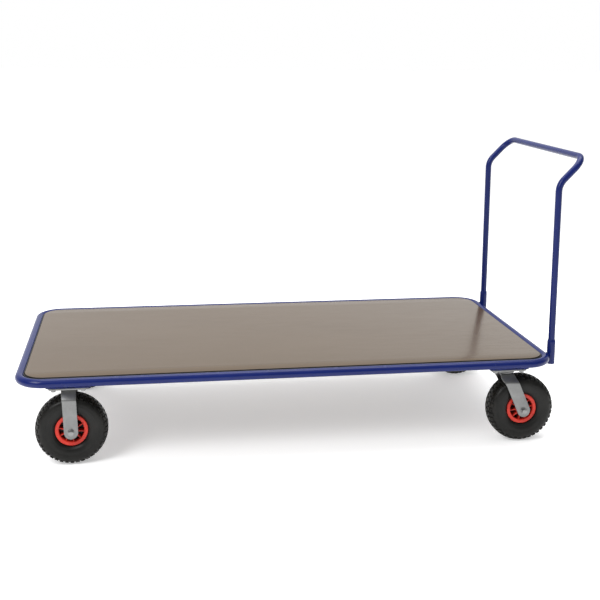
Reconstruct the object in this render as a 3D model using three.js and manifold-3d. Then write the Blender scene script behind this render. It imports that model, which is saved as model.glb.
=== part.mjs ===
// A platform trolley: a tubular frame with a flush deck board, a plug-in push handle at the +X end,
// two fixed castors at the -X end and two swivel castors under the handle, all with pneumatic tyres.
// Millimetres, +Z up. The origin is on the floor, under the middle of the whole trolley.
// Pushed from the handle it runs towards -X, so "left" is the -Y side and "right" is the +Y side.
import * as THREE from "three";
import { mergeVertices } from "three/addons/utils/BufferGeometryUtils.js";
import Module from "manifold-3d";

const wasm = await Module();
wasm.setup();

// Clearance between pieces that touch.
const GAP = 0.3;

// Frame and deck.
const FRAME_LENGTH = 2000;
const FRAME_WIDTH = 1000;
const FRAME_TUBE_R = 16;
const FRAME_TUBE_WALL = 2;
const FRAME_CORNER_R = 90; // bend radius of the tube's centre line
const FRAME_TOP = 342;
const DECK_TOP = 342;
const DECK_THICKNESS = 12;
const DECK_MARGIN = 3; // slot left between the board and the frame tube
const DECK_CORNER_R = 70;

// Rectangular tubes that carry the board, and the plates that the castors are bolted to.
const MEMBER_WALL = 2;
const MIDDLE_MEMBER = { width: 30, height: 25 };
const CASTOR_MEMBER = { width: 60, height: 30 };
const MEMBER_OFFSETS = [-400, 0, 400]; // from the deck's middle
const MOUNT_PLATE = { length: 156, width: 110, thickness: 5, corner: 6 };

// Castors.
const CASTOR_PLATE = { length: 140, width: 110, thickness: 6, corner: 10 };
const PLATE_HOLES = { x: 105, y: 80, r: 5.5, sides: 8 };
const CASTOR_Y = 399; // wheel plane from the trolley's middle
const FIXED_AXLE_OFFSET = -805; // from the deck's middle
const FIXED_TRAIL = 7; // how far an axle stands behind the middle of its fork's web
const SWIVEL_AXIS_OFFSET = 827.5;
const SWIVEL_TRAIL = 63;
const FORK_STRIP = 5;
const FORK_HALF_WIDTH = 56; // outer face of a leg from the wheel plane
const FORK_WEB_HALF = 30;
const FIXED_SHOULDER = 38; // drop from the web to the top of the straight legs
const SWIVEL_SHOULDER = 30;
const FORK_WEB_REACH = 26; // half the web's length along the trolley
const LEG_HALF = 25;
const RACE = { inner: 12, outer: 38, height: 15 };
const KINGPIN = { r: 8, headR: 12, head: 6 };

// Wheels.
const WHEEL_R = 130;
const TYRE_HALF_WIDTH = 42.5;
const TREAD_BLOCKS = 24;
const TREAD_DEPTH = 6;
const TREAD_FROM_R = 120;
const RIM_SEGMENTS = 24;
const RIM = {
  barrel: 50.5,
  flange: 58.5,
  dish: 44,
  hub: 21,
  halfWidth: 31,
  seat: 26.5,
  web: 8,
  hubHalf: 37.5,
};
const BEARING = { inner: 10.8, outer: 14 };
const SLEEVE = { inner: 6.6, outer: 10 };
const AXLE = { r: 6, hexR: 11, head: 7.5, washerR: 12, washer: 2.5, nut: 10, tail: 3 };

// Push handle and its sockets.
const HANDLE_TUBE_R = 12.7;
const HANDLE_TUBE_WALL = 2;
const HANDLE_HALF_SPAN = 391;
const HANDLE_TOP = 1096; // centre line of the cross bar
const HANDLE_CRANK_Z = 994; // where the uprights lean out
const HANDLE_CRANK = 99.5; // how far they lean out
const CRANK_BEND_R = 68;
const HANDLE_CORNER_R = 60;
const SOCKET = { outer: 15.7, inner: 13.15, bottom: 294, top: 390, floor: 5 };

// Levels and places that follow from the sizes above.
const SOCKET_OFFSET = FRAME_LENGTH / 2 + SOCKET.outer + GAP; // from the deck's middle
const HANDLE_OVERHANG = SOCKET_OFFSET + HANDLE_CRANK + HANDLE_TUBE_R - FRAME_LENGTH / 2;
const DECK_X = -HANDLE_OVERHANG / 2; // the deck's middle, set so that the whole trolley is centred
const FRAME_Z = FRAME_TOP - FRAME_TUBE_R;
const DECK_BOTTOM = DECK_TOP - DECK_THICKNESS;
const MEMBER_TOP = DECK_BOTTOM - GAP;
const MOUNT_TOP = MEMBER_TOP - CASTOR_MEMBER.height - GAP;
const PLATE_TOP = MOUNT_TOP - MOUNT_PLATE.thickness - GAP;
const PLATE_BOTTOM = PLATE_TOP - CASTOR_PLATE.thickness;
const FIXED_WEB_TOP = PLATE_BOTTOM - GAP;
const RACE_BOTTOM = FIXED_WEB_TOP - RACE.height;
const SWIVEL_WEB_TOP = RACE_BOTTOM - GAP;
const FRAME_HALF_X = FRAME_LENGTH / 2 - FRAME_TUBE_R;
const FRAME_HALF_Y = FRAME_WIDTH / 2 - FRAME_TUBE_R;
const SOCKET_X = DECK_X + SOCKET_OFFSET;
const FIXED_X = DECK_X + FIXED_AXLE_OFFSET - FIXED_TRAIL; // the middle of the fixed castors' plates
const SWIVEL_X = DECK_X + SWIVEL_AXIS_OFFSET;
const FIXED_FORK = { webTop: FIXED_WEB_TOP, shoulder: FIXED_SHOULDER, trail: FIXED_TRAIL };
const SWIVEL_FORK = { webTop: SWIVEL_WEB_TOP, shoulder: SWIVEL_SHOULDER, trail: SWIVEL_TRAIL };

const material = (color, roughness, metalness) =>
  new THREE.MeshStandardMaterial({ color, roughness, metalness });
const BLUE_PAINT = material(0x27318a, 0.28, 0.1);
const BOARD = material(0x92877a, 0.4, 0);
const ZINC = material(0x9a9b9c, 0.42, 0.9);
const RUBBER = material(0x26272a, 0.85, 0);
const RED_PLASTIC = material(0xa81f22, 0.4, 0);
const STEEL = material(0x77797c, 0.35, 0.95);

const trolley = new THREE.Group();

function add(name, geometry, surface, parent = trolley) {
  const mesh = new THREE.Mesh(geometry, surface);
  mesh.name = name;
  parent.add(mesh);
  return mesh;
}

function groupAt(x, y) {
  const group = new THREE.Group();
  group.position.set(x, y, 0);
  trolley.add(group);
  return group;
}

// Points of an arc about (x, y), ends included.
function arc(x, y, r, from, to, steps) {
  const points = [];
  for (let i = 0; i <= steps; i++) {
    const angle = from + ((to - from) * i) / steps;
    points.push(new THREE.Vector2(x + r * Math.cos(angle), y + r * Math.sin(angle)));
  }
  return points;
}

// A closed ring of points, the first one on the +x side.
const ring = (r, sides, x = 0, y = 0) => arc(x, y, r, 0, 2 * Math.PI, sides).slice(0, sides);

function roundedRectangle(length, width, corner, steps) {
  const x = length / 2 - corner;
  const y = width / 2 - corner;
  const quarter = Math.PI / 2;
  return [
    ...arc(x, y, corner, 0, quarter, steps),
    ...arc(-x, y, corner, quarter, 2 * quarter, steps),
    ...arc(-x, -y, corner, 2 * quarter, 3 * quarter, steps),
    ...arc(x, -y, corner, 3 * quarter, 4 * quarter, steps),
  ];
}

// An outline with holes, extruded up from z = bottom.
function slab(outline, holes, bottom, thickness) {
  const shape = new THREE.Shape(outline);
  shape.holes = holes.map((hole) => new THREE.Path(hole));
  const geometry = new THREE.ExtrudeGeometry(shape, { depth: thickness, bevelEnabled: false });
  return geometry.translate(0, 0, bottom);
}

// An outline in (x, z), extruded along Y and centred on y = 0.
const slabAlongY = (outline, holes, width) => slab(outline, holes, -width / 2, width).rotateX(Math.PI / 2);

// An outline in (y, z), extruded along X from x = start.
function slabAlongX(outline, holes, start, length) {
  return slab(outline, holes, start, length).rotateX(Math.PI / 2).rotateZ(Math.PI / 2);
}

// A profile of [radius, height] pairs turned about Y, anticlockwise with the radius to the right.
function turned(profile, segments) {
  return new THREE.LatheGeometry(profile.map(([r, h]) => new THREE.Vector2(r, h)), segments);
}

// The same about Z.
const turnedAboutZ = (profile, segments) => turned(profile, segments).rotateX(Math.PI / 2);

// A closed ring section from its four limits, for turned().
function collar(inner, outer, low, high) {
  return [[inner, low], [outer, low], [outer, high], [inner, high], [inner, low]];
}

function toSolid(geometry) {
  const bare = geometry.index ? geometry.toNonIndexed() : geometry;
  const positions = new THREE.BufferGeometry().setAttribute("position", bare.getAttribute("position"));
  const merged = mergeVertices(positions);
  const vertProperties = merged.getAttribute("position").array;
  const triVerts = new Uint32Array(merged.index.array);
  return new wasm.Manifold(new wasm.Mesh({ numProp: 3, vertProperties, triVerts }));
}

function toGeometry(solid) {
  const mesh = solid.getMesh();
  const geometry = new THREE.BufferGeometry();
  geometry.setAttribute("position", new THREE.BufferAttribute(mesh.vertProperties, 3));
  geometry.setIndex(new THREE.BufferAttribute(mesh.triVerts, 1));
  return geometry;
}

// The centre line of a bent tube. It has stations only at the ends and along the bends, so a straight run
// is a single facet long.
class BentLine extends THREE.Curve {
  constructor(corners, radii) {
    super();
    this.stations = [];
    const lead = corners[1].clone().sub(corners[0]).normalize();
    this.stations.push({ point: corners[0], tangent: lead });
    for (let i = 1; i < corners.length - 1; i++) {
      this.bend(corners[i - 1], corners[i], corners[i + 1], radii[i - 1]);
    }
    const last = corners[corners.length - 1];
    const exit = last.clone().sub(corners[corners.length - 2]).normalize();
    this.stations.push({ point: last, tangent: exit });
  }

  bend(before, corner, after, radius) {
    const arriving = corner.clone().sub(before).normalize();
    const leaving = after.clone().sub(corner).normalize();
    const angle = arriving.angleTo(leaving);
    const axis = arriving.clone().cross(leaving).normalize();
    const start = corner.clone().addScaledVector(arriving, -radius * Math.tan(angle / 2));
    const centre = start.clone().addScaledVector(axis.clone().cross(arriving), radius);
    const steps = Math.ceil(angle / (Math.PI / 12));
    for (let i = 0; i <= steps; i++) {
      const turn = (angle * i) / steps;
      const point = start.clone().sub(centre).applyAxisAngle(axis, turn).add(centre);
      this.stations.push({ point, tangent: arriving.clone().applyAxisAngle(axis, turn) });
    }
  }

  stationAt(u) {
    return this.stations[Math.round(u * (this.stations.length - 1))];
  }

  getPointAt(u, target = new THREE.Vector3()) {
    return target.copy(this.stationAt(u).point);
  }

  getTangentAt(u, target = new THREE.Vector3()) {
    return target.copy(this.stationAt(u).tangent);
  }
}

// A hollow round tube with open ends.
function bentTube(corners, radii, outer, wall, sides, boreSides) {
  const line = new BentLine(corners.map((c) => new THREE.Vector3(...c)), radii);
  const section = new THREE.Shape(ring(outer, sides));
  section.holes.push(new THREE.Path(ring(outer - wall, boreSides)));
  return new THREE.ExtrudeGeometry(section, {
    steps: line.stations.length - 1,
    extrudePath: line,
    bevelEnabled: false,
  });
}

// Frame: two U-bent tubes that meet in the middle of the long sides.
function frameHalf(end) {
  const joint = DECK_X + (end * GAP) / 2;
  const x = DECK_X + end * FRAME_HALF_X;
  const corners = [
    [joint, -FRAME_HALF_Y, FRAME_Z],
    [x, -FRAME_HALF_Y, FRAME_Z],
    [x, FRAME_HALF_Y, FRAME_Z],
    [joint, FRAME_HALF_Y, FRAME_Z],
  ];
  return bentTube(corners, [FRAME_CORNER_R, FRAME_CORNER_R], FRAME_TUBE_R, FRAME_TUBE_WALL, 16, 12);
}

add("frame_tube_front", frameHalf(-1), BLUE_PAINT);
add("frame_tube_rear", frameHalf(1), BLUE_PAINT);

// Cross members between the long sides, open-ended rectangular tubes.
function crossMember(x, { width, height }) {
  const length = 2 * (FRAME_HALF_Y - FRAME_TUBE_R - GAP);
  const top = MEMBER_TOP;
  const box = (inset) => [
    new THREE.Vector2(x - width / 2 + inset, top - height + inset),
    new THREE.Vector2(x + width / 2 - inset, top - height + inset),
    new THREE.Vector2(x + width / 2 - inset, top - inset),
    new THREE.Vector2(x - width / 2 + inset, top - inset),
  ];
  return slabAlongY(box(0), [box(MEMBER_WALL)], length);
}

add("cross_member_front", crossMember(FIXED_X, CASTOR_MEMBER), BLUE_PAINT);
add("cross_member_rear", crossMember(SWIVEL_X, CASTOR_MEMBER), BLUE_PAINT);
MEMBER_OFFSETS.forEach((offset, i) => {
  add(`cross_member_middle_${i + 1}`, crossMember(DECK_X + offset, MIDDLE_MEMBER), BLUE_PAINT);
});

// Deck board.
function deckBoard() {
  const inset = 2 * (2 * FRAME_TUBE_R + DECK_MARGIN);
  const outline = roundedRectangle(FRAME_LENGTH - inset, FRAME_WIDTH - inset, DECK_CORNER_R, 6);
  return slab(outline, [], DECK_BOTTOM, DECK_THICKNESS).translate(DECK_X, 0, 0);
}

add("deck_board", deckBoard(), BOARD);

// Push handle: one bent tube, standing in two closed-bottom sockets outside the frame's end tube.
function handleSocket() {
  const { outer, inner, bottom, top, floor } = SOCKET;
  const outside = [[0, bottom], [outer, bottom], [outer, top]];
  const inside = [[inner, top], [inner, bottom + floor], [0, bottom + floor]];
  return turnedAboutZ([...outside, ...inside], 16);
}

function pushHandle() {
  const foot = SOCKET.bottom + SOCKET.floor + GAP;
  const corners = [
    [SOCKET_X, -HANDLE_HALF_SPAN, foot],
    [SOCKET_X, -HANDLE_HALF_SPAN, HANDLE_CRANK_Z],
    [SOCKET_X + HANDLE_CRANK, -HANDLE_HALF_SPAN, HANDLE_TOP],
    [SOCKET_X + HANDLE_CRANK, HANDLE_HALF_SPAN, HANDLE_TOP],
    [SOCKET_X, HANDLE_HALF_SPAN, HANDLE_CRANK_Z],
    [SOCKET_X, HANDLE_HALF_SPAN, foot],
  ];
  const radii = [CRANK_BEND_R, HANDLE_CORNER_R, HANDLE_CORNER_R, CRANK_BEND_R];
  return bentTube(corners, radii, HANDLE_TUBE_R, HANDLE_TUBE_WALL, 16, 8);
}

add("handle_socket_left", handleSocket(), BLUE_PAINT, groupAt(SOCKET_X, -HANDLE_HALF_SPAN));
add("handle_socket_right", handleSocket(), BLUE_PAINT, groupAt(SOCKET_X, HANDLE_HALF_SPAN));
add("push_handle", pushHandle(), BLUE_PAINT);

// A castor or mounting plate with its four bolt holes, and any further holes.
function boltedPlate({ length, width, thickness, corner }, top, holes = []) {
  const { x, y, r, sides } = PLATE_HOLES;
  const corners = [[-1, -1], [1, -1], [1, 1], [-1, 1]];
  const bolts = corners.map(([sx, sy]) => ring(r, sides, (sx * x) / 2, (sy * y) / 2));
  return slab(roundedRectangle(length, width, corner, 3), [...bolts, ...holes], top - thickness, thickness);
}

// The outline of a bent strip, from its outer face's points and its thickness.
function stripOutline(outerFace, thickness) {
  const innerFace = outerFace.map((point, i) => {
    const before = outerFace[Math.max(i - 1, 0)];
    const after = outerFace[Math.min(i + 1, outerFace.length - 1)];
    const arriving = i > 0 ? point.clone().sub(before).normalize() : after.clone().sub(point).normalize();
    const leaving = i < outerFace.length - 1 ? after.clone().sub(point).normalize() : arriving;
    const mitre = arriving.clone().add(leaving).normalize();
    const inward = new THREE.Vector2(mitre.y, -mitre.x);
    return point.clone().addScaledVector(inward, thickness / mitre.dot(leaving));
  });
  return [...outerFace, ...innerFace.reverse()];
}

// A castor fork: a strip bent over the wheel, with its sides cut to an outline in (x, z).
function fork({ webTop, shoulder, trail }, pinHole) {
  const low = WHEEL_R - 2 * LEG_HALF;
  const knee = webTop - shoulder;
  const face = [
    [-FORK_HALF_WIDTH, low],
    [-FORK_HALF_WIDTH, knee],
    [-FORK_WEB_HALF, webTop],
    [FORK_WEB_HALF, webTop],
    [FORK_HALF_WIDTH, knee],
    [FORK_HALF_WIDTH, low],
  ].map(([y, z]) => new THREE.Vector2(y, z));
  const reach = SWIVEL_TRAIL + 2 * LEG_HALF;
  const strip = toSolid(slabAlongX(stripOutline(face, FORK_STRIP), [], -reach, 2 * reach));
  const side = toSolid(slabAlongY(forkSide(webTop, shoulder, trail), [], 3 * FORK_HALF_WIDTH));
  const axleHole = ring(AXLE.r + 2 * GAP, 12, trail, WHEEL_R);
  let solid = strip.intersect(side).subtract(toSolid(slabAlongY(axleHole, [], 3 * FORK_HALF_WIDTH)));
  if (pinHole) {
    solid = solid.subtract(toSolid(slab(ring(pinHole, 12), [], webTop - 2 * FORK_STRIP, 3 * FORK_STRIP)));
  }
  return toGeometry(solid);
}

// Side outline of a fork whose legs run from the web, centred on x = 0, to an axle at x = trail.
function forkSide(webTop, shoulder, trail) {
  const top = webTop + FORK_STRIP;
  const start = new THREE.Vector2(0, webTop);
  const axle = new THREE.Vector2(trail, WHEEL_R);
  const down = axle.clone().sub(start).normalize();
  const across = new THREE.Vector2(-down.y, down.x); // towards +x
  const angle = across.angle();
  const webLow = webTop - 3 * FORK_STRIP;
  const edgeAt = (side, z) => {
    const edge = axle.clone().addScaledVector(across, side * LEG_HALF);
    const run = (z - edge.y) / down.y;
    return edge.addScaledVector(down, run);
  };
  const shoulderLow = webTop - shoulder;
  const foot = arc(axle.x, axle.y, LEG_HALF, angle, angle - Math.PI, 6);
  return [
    new THREE.Vector2(-FORK_WEB_REACH, top),
    new THREE.Vector2(-FORK_WEB_REACH, webLow),
    edgeAt(-1, shoulderLow - LEG_HALF / 2),
    ...foot.reverse(),
    edgeAt(1, shoulderLow),
    new THREE.Vector2(Math.max(FORK_WEB_REACH, edgeAt(1, shoulderLow).x - 8), webLow),
    new THREE.Vector2(FORK_WEB_REACH, top),
  ];
}

// Tyre: a solid section between the beads, with a block tread cut across the crown.
function tyre() {
  const side = [[51.2, 26.2], [59.5, 26.2], [82, TYRE_HALF_WIDTH], [110, 42], [124, 36], [WHEEL_R, 14]];
  const profile = [...side.map(([r, y]) => [r, -y]), ...side.reverse()];
  profile.push(profile[0]);
  const geometry = turned(profile, 2 * TREAD_BLOCKS);
  const position = geometry.getAttribute("position");
  for (let i = 0; i < position.count; i++) {
    const meridian = Math.floor(i / profile.length);
    const r = Math.hypot(position.getX(i), position.getZ(i));
    if (r > TREAD_FROM_R && meridian % 2 === 1) {
      const scale = (r - TREAD_DEPTH) / r;
      position.setXYZ(i, position.getX(i) * scale, position.getY(i), position.getZ(i) * scale);
    }
  }
  return geometry;
}

// Rim: barrel with two flanges, a web in the middle, and the hub.
function rim() {
  const { barrel, flange, dish, hub, halfWidth, seat, web, hubHalf } = RIM;
  const bore = BEARING.outer + GAP;
  const half = [[hub, hubHalf], [hub, web], [dish, web], [dish, halfWidth]];
  half.push([flange, halfWidth], [flange, seat], [barrel, seat]);
  const profile = [[bore, -hubHalf], ...half.map(([r, y]) => [r, -y]), ...half.reverse(), [bore, hubHalf]];
  profile.push(profile[0]);
  return turned(profile, RIM_SEGMENTS);
}

function axleBolt() {
  const face = FORK_HALF_WIDTH + GAP;
  const end = face + AXLE.nut + AXLE.tail;
  const length = face + end;
  const shank = new THREE.CylinderGeometry(AXLE.r, AXLE.r, length, 12);
  shank.translate(0, (end - face) / 2, 0);
  const washer = new THREE.CylinderGeometry(AXLE.washerR, AXLE.washerR, AXLE.washer, 16);
  washer.translate(0, -face - AXLE.washer / 2, 0);
  const head = new THREE.CylinderGeometry(AXLE.hexR, AXLE.hexR, AXLE.head, 6);
  head.translate(0, -face - AXLE.washer - AXLE.head / 2, 0);
  return toGeometry(toSolid(shank).add(toSolid(washer)).add(toSolid(head)));
}

function axleNut() {
  const bore = ring(AXLE.r + 0.5, 12);
  const nut = slabAlongY(ring(AXLE.hexR, 6), [bore], AXLE.nut);
  return nut.translate(0, FORK_HALF_WIDTH + GAP + AXLE.nut / 2, 0);
}

// A wheel with its axle, about the axle's middle. The bolt's head faces outwards on both sides: side is -1
// for the castors at -Y and 1 for those at +Y.
function addWheel(name, castor, axleX, side) {
  const wheel = new THREE.Group();
  wheel.position.set(axleX, 0, WHEEL_R);
  castor.add(wheel);
  add(`tyre_${name}`, tyre(), RUBBER, wheel);
  add(`rim_${name}`, rim(), RED_PLASTIC, wheel);
  const bearing = collar(BEARING.inner, BEARING.outer, -RIM.hubHalf, RIM.hubHalf);
  add(`roller_bearing_${name}`, turned(bearing, 16), STEEL, wheel);
  const sleeveHalf = FORK_HALF_WIDTH - FORK_STRIP - GAP;
  const sleeve = collar(SLEEVE.inner, SLEEVE.outer, -sleeveHalf, sleeveHalf);
  add(`axle_sleeve_${name}`, turned(sleeve, 12), STEEL, wheel);
  const fasteners = new THREE.Group();
  fasteners.rotation.z = side > 0 ? Math.PI : 0;
  wheel.add(fasteners);
  add(`axle_bolt_${name}`, axleBolt(), ZINC, fasteners);
  add(`axle_nut_${name}`, axleNut(), ZINC, fasteners);
}

function kingpin() {
  const { r, headR, head } = KINGPIN;
  const headTop = SWIVEL_WEB_TOP - FORK_STRIP - GAP;
  const low = headTop - head;
  const pinHead = [[0, low], [headR, low], [headR, headTop]];
  const pin = [[r, headTop], [r, PLATE_TOP], [0, PLATE_TOP]];
  return turnedAboutZ([...pinHead, ...pin], 12);
}

for (const [sideName, side] of [["left", -1], ["right", 1]]) {
  const fixed = groupAt(FIXED_X, side * CASTOR_Y);
  const fixedName = `fixed_${sideName}`;
  add(`mounting_plate_${fixedName}`, boltedPlate(MOUNT_PLATE, MOUNT_TOP), BLUE_PAINT, fixed);
  add(`castor_plate_${fixedName}`, boltedPlate(CASTOR_PLATE, PLATE_TOP), ZINC, fixed);
  add(`fork_${fixedName}`, fork(FIXED_FORK), ZINC, fixed);
  addWheel(fixedName, fixed, FIXED_TRAIL, side);

  const swivel = groupAt(SWIVEL_X, side * CASTOR_Y);
  const swivelName = `swivel_${sideName}`;
  const pinHole = ring(KINGPIN.r + 2 * GAP, 12);
  add(`mounting_plate_${swivelName}`, boltedPlate(MOUNT_PLATE, MOUNT_TOP), BLUE_PAINT, swivel);
  add(`castor_plate_${swivelName}`, boltedPlate(CASTOR_PLATE, PLATE_TOP, [pinHole]), ZINC, swivel);
  const race = collar(RACE.inner, RACE.outer, RACE_BOTTOM, RACE_BOTTOM + RACE.height);
  add(`swivel_race_${sideName}`, turnedAboutZ(race, 20), ZINC, swivel);
  add(`kingpin_${sideName}`, kingpin(), STEEL, swivel);
  add(`fork_${swivelName}`, fork(SWIVEL_FORK, KINGPIN.r + 2 * GAP), ZINC, swivel);
  addWheel(swivelName, swivel, SWIVEL_TRAIL, side);
}

export default trolley;
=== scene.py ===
"""The looks of a platform trolley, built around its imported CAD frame: bent tubes, pressed steel castors,
block-tread tyres, ribbed plastic rims and a film-faced board. Metres, +Z up. The push handle stands at the
+X end. "left" is the -Y side."""
import math

import bmesh
import bpy
import numpy as np
from mathutils import Matrix, Vector


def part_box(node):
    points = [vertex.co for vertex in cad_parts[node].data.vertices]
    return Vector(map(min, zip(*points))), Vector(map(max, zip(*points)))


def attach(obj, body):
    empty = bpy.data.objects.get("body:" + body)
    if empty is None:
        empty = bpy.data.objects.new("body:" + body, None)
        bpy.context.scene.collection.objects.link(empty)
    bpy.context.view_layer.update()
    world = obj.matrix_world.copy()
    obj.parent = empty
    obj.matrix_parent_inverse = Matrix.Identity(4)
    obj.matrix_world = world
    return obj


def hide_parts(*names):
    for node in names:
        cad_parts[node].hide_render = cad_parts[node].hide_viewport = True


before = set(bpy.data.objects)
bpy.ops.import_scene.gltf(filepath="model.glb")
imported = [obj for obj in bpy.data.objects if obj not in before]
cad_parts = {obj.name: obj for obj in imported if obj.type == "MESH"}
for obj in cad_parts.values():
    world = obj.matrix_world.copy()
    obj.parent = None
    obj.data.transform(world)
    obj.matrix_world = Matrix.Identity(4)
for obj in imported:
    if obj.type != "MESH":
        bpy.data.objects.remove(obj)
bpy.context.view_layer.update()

MM = 0.001
SIDES = ("left", "right")
ENDS = ("fixed", "swivel")
SHARP_ANGLE = math.radians(38)
MERGE_DISTANCE = 0.002 * MM
CONTACT_GAP = 0.3 * MM
HEX_STEPS = 72

# Tubes and sheet of the frame, as the CAD has them.
FRAME_TUBE_R = 16 * MM
FRAME_CORNER_R = 90 * MM
DECK_CORNER_R = 70 * MM
DECK_EDGE = 1.4 * MM
# The black strip in the board's groove is painted shade: a dark piece where the gap is only in shadow.
SHADE_STRIP_R = 2.8 * MM
SHADE_STRIP_OUTSET = 3.1 * MM  # the black strip's centre line from the board's edge
SHADE_STRIP_DEPTH = 5.8 * MM  # and below the board's top
MEMBER_WALL = 2 * MM
MEMBER_CORNER = 4 * MM
HANDLE_TUBE_R = 12.7 * MM
HANDLE_WALL = 2 * MM
HANDLE_CRANK_Z = 994 * MM
HANDLE_RADII = (68 * MM, 60 * MM, 60 * MM, 68 * MM)
SOCKET_R = 15.7 * MM
SOCKET_BORE = 13.15 * MM
SOCKET_FLOOR = 5 * MM
SOCKET_CHAMFER = 8 * MM
WELD_R = 2.6 * MM
WELD_RIPPLE = 2.4 * MM  # length of one ripple along a bead
MEMBER_WELD_DROP = 0.95 * FRAME_TUBE_R  # from the tube's middle down to where a member's bead starts
SOCKET_WELD_R = 9 * MM
SOCKET_WELD_BOW = 1.2 * MM
MOUNT_WELD_INSET = 8 * MM
SCREW_SPREAD = 420 * MM  # from the middle to the outer deck screws
CASTOR_SCREW_SPREAD = 200 * MM  # the same on the members that carry castors

# Castors.
PLATE_EDGE = 0.9 * MM
MOUNT_CORNER = 7 * MM
CASTOR_CORNER = 11 * MM
BOLT_SPACING = (105 * MM, 80 * MM)
BOLT_HOLE_R = 5.5 * MM
FORK_STRIP = 5 * MM
FORK_WEB_HALF = 30 * MM
FORK_SHOULDER = {"fixed": 38 * MM, "swivel": 30 * MM}
FORK_WEB_REACH = 26 * MM
FORK_BEND_R = 11 * MM
LEG_HALF = 25 * MM
RIM_RIBS = 10
TREAD_PITCHES = 40
TREAD_DEPTH = 3.6 * MM
VALVE_RADIUS = 33 * MM
VALVE_INSET = 4 * MM
WHEEL_TURNS = {"fixed_left": 9, "swivel_left": 27, "fixed_right": 52, "swivel_right": 80}  # degrees


# ---------------------------------------------------------------- outlines and paths

def unit(vector):
    return vector / np.linalg.norm(vector)


def filleted(corners, radii, steps=8, closed=False):
    """The corners joined by straight runs, with an arc in place of each corner that has a radius."""
    corners = [np.array(c, float) for c in corners]
    count = len(corners)
    if np.isscalar(radii):
        radii = [radii] * (count if closed else count - 2)
    turning = range(count) if closed else range(1, count - 1)
    points = [] if closed else [corners[0]]
    for radius, i in zip(radii, turning):
        corner = corners[i]
        arriving = unit(corner - corners[i - 1])
        leaving = unit(corners[(i + 1) % count] - corner)
        angle = math.acos(max(-1.0, min(1.0, float(arriving @ leaving))))
        if radius == 0 or angle < 1e-4:
            points.append(corner)
            continue
        inward = unit(leaving - (arriving @ leaving) * arriving)
        start = corner - arriving * radius * math.tan(angle / 2)
        for k in range(steps + 1):
            turn = angle * k / steps
            points.append(start + radius * (math.sin(turn) * arriving + (1 - math.cos(turn)) * inward))
    if not closed:
        points.append(corners[-1])
    return np.array(points)


def rounded_rectangle(length, width, corner, steps=10):
    x, y = length / 2, width / 2
    return filleted([(x, -y), (x, y), (-x, y), (-x, -y)], corner, steps, closed=True)


def circle(radius, sides, x=0.0, y=0.0):
    angles = np.arange(sides) * 2 * math.pi / sides
    return np.stack([x + radius * np.cos(angles), y + radius * np.sin(angles)], 1)


def resampled(path, step):
    """The same path with a point about every step."""
    path = np.array(path, float)
    lengths = np.linalg.norm(np.diff(path, axis=0), axis=1)
    along = np.concatenate([[0], np.cumsum(lengths)])
    wanted = np.linspace(0, along[-1], max(2, int(along[-1] / step)))
    return np.stack([np.interp(wanted, along, path[:, k]) for k in range(path.shape[1])], 1)


def section_frames(path, loop, first_side):
    """Two directions across the path at each of its points, with no twist from one point to the next."""
    count = len(path)
    side = np.array(first_side, float)
    frames = []
    for i in range(count):
        before = path[i] - path[i - 1] if i > 0 or loop else path[1] - path[0]
        after = path[(i + 1) % count] - path[i] if i < count - 1 or loop else path[-1] - path[-2]
        tangent = unit(unit(before) + unit(after))
        side = unit(side - (side @ tangent) * tangent)
        frames.append((side, np.cross(tangent, side)))
    return frames


# ---------------------------------------------------------------- solids

class Solid:
    """Vertices and faces gathered for one piece."""

    def __init__(self):
        self.vertices = []
        self.faces = []

    def add(self, vertices, faces, place=None):
        start = len(self.vertices)
        if place is not None:
            vertices = [place @ Vector(v) for v in vertices]
        self.vertices.extend(tuple(v) for v in vertices)
        self.faces.extend(tuple(start + i for i in face) for face in faces)
        return self


def skin(rings, loop=False):
    """A closed skin over rings of equal length. Unless it loops, each end gets a flat cap."""
    count, size = len(rings), len(rings[0])
    vertices = [point for ring in rings for point in ring]
    faces = []
    for i in range(count if loop else count - 1):
        a, b = i * size, (i + 1) % count * size
        for j in range(size):
            k = (j + 1) % size
            faces.append((a + j, a + k, b + k, b + j))
    if not loop:
        faces.append(tuple(range(size - 1, -1, -1)))
        faces.append(tuple(range((count - 1) * size, count * size)))
    return vertices, faces


def turned(profile, steps):
    """A closed profile of (radius, height) turned about Z."""
    rings = []
    for i in range(steps):
        a = 2 * math.pi * i / steps
        rings.append([(r * math.cos(a), r * math.sin(a), h) for r, h in profile])
    return skin(rings, loop=True)


def tube_rings(path, radius, sides, loop=False, first_side=(0, 0, 1)):
    """Rings of a round section along a path. radius is one value, or one for each point."""
    radii = np.broadcast_to(radius, len(path))
    angles = np.arange(sides) * 2 * math.pi / sides
    rings = []
    for point, r, (side, up) in zip(path, radii, section_frames(path, loop, first_side)):
        rings.append([point + r * (math.cos(a) * side + math.sin(a) * up) for a in angles])
    return rings


def pipe(path, outer, inner, sides):
    """A tube with a wall and open ends."""
    first_side = (1, 0, 0)
    outside = tube_rings(path, outer, sides, first_side=first_side)
    inside = tube_rings(path, inner, sides, first_side=first_side)
    return skin(outside + inside[::-1], loop=True)


def bead(path, radius=WELD_R, loop=False):
    """A weld bead with its ripples, thinning out at its ends."""
    fine = resampled(path, WELD_RIPPLE / 4)
    if loop:
        fine = fine[:-1]
    travel = np.arange(len(fine))
    radii = radius * (1 + 0.13 * np.sin(travel * math.pi / 2) + 0.06 * np.sin(travel * 0.37))
    if not loop:
        ends = np.minimum(travel, travel[::-1]) / 6
        radii = radii * np.clip(0.35 + ends, 0, 1)
    first = (0.3, 0.2, 1)
    return skin(tube_rings(fine, radii, 10, loop, first), loop)


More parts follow.
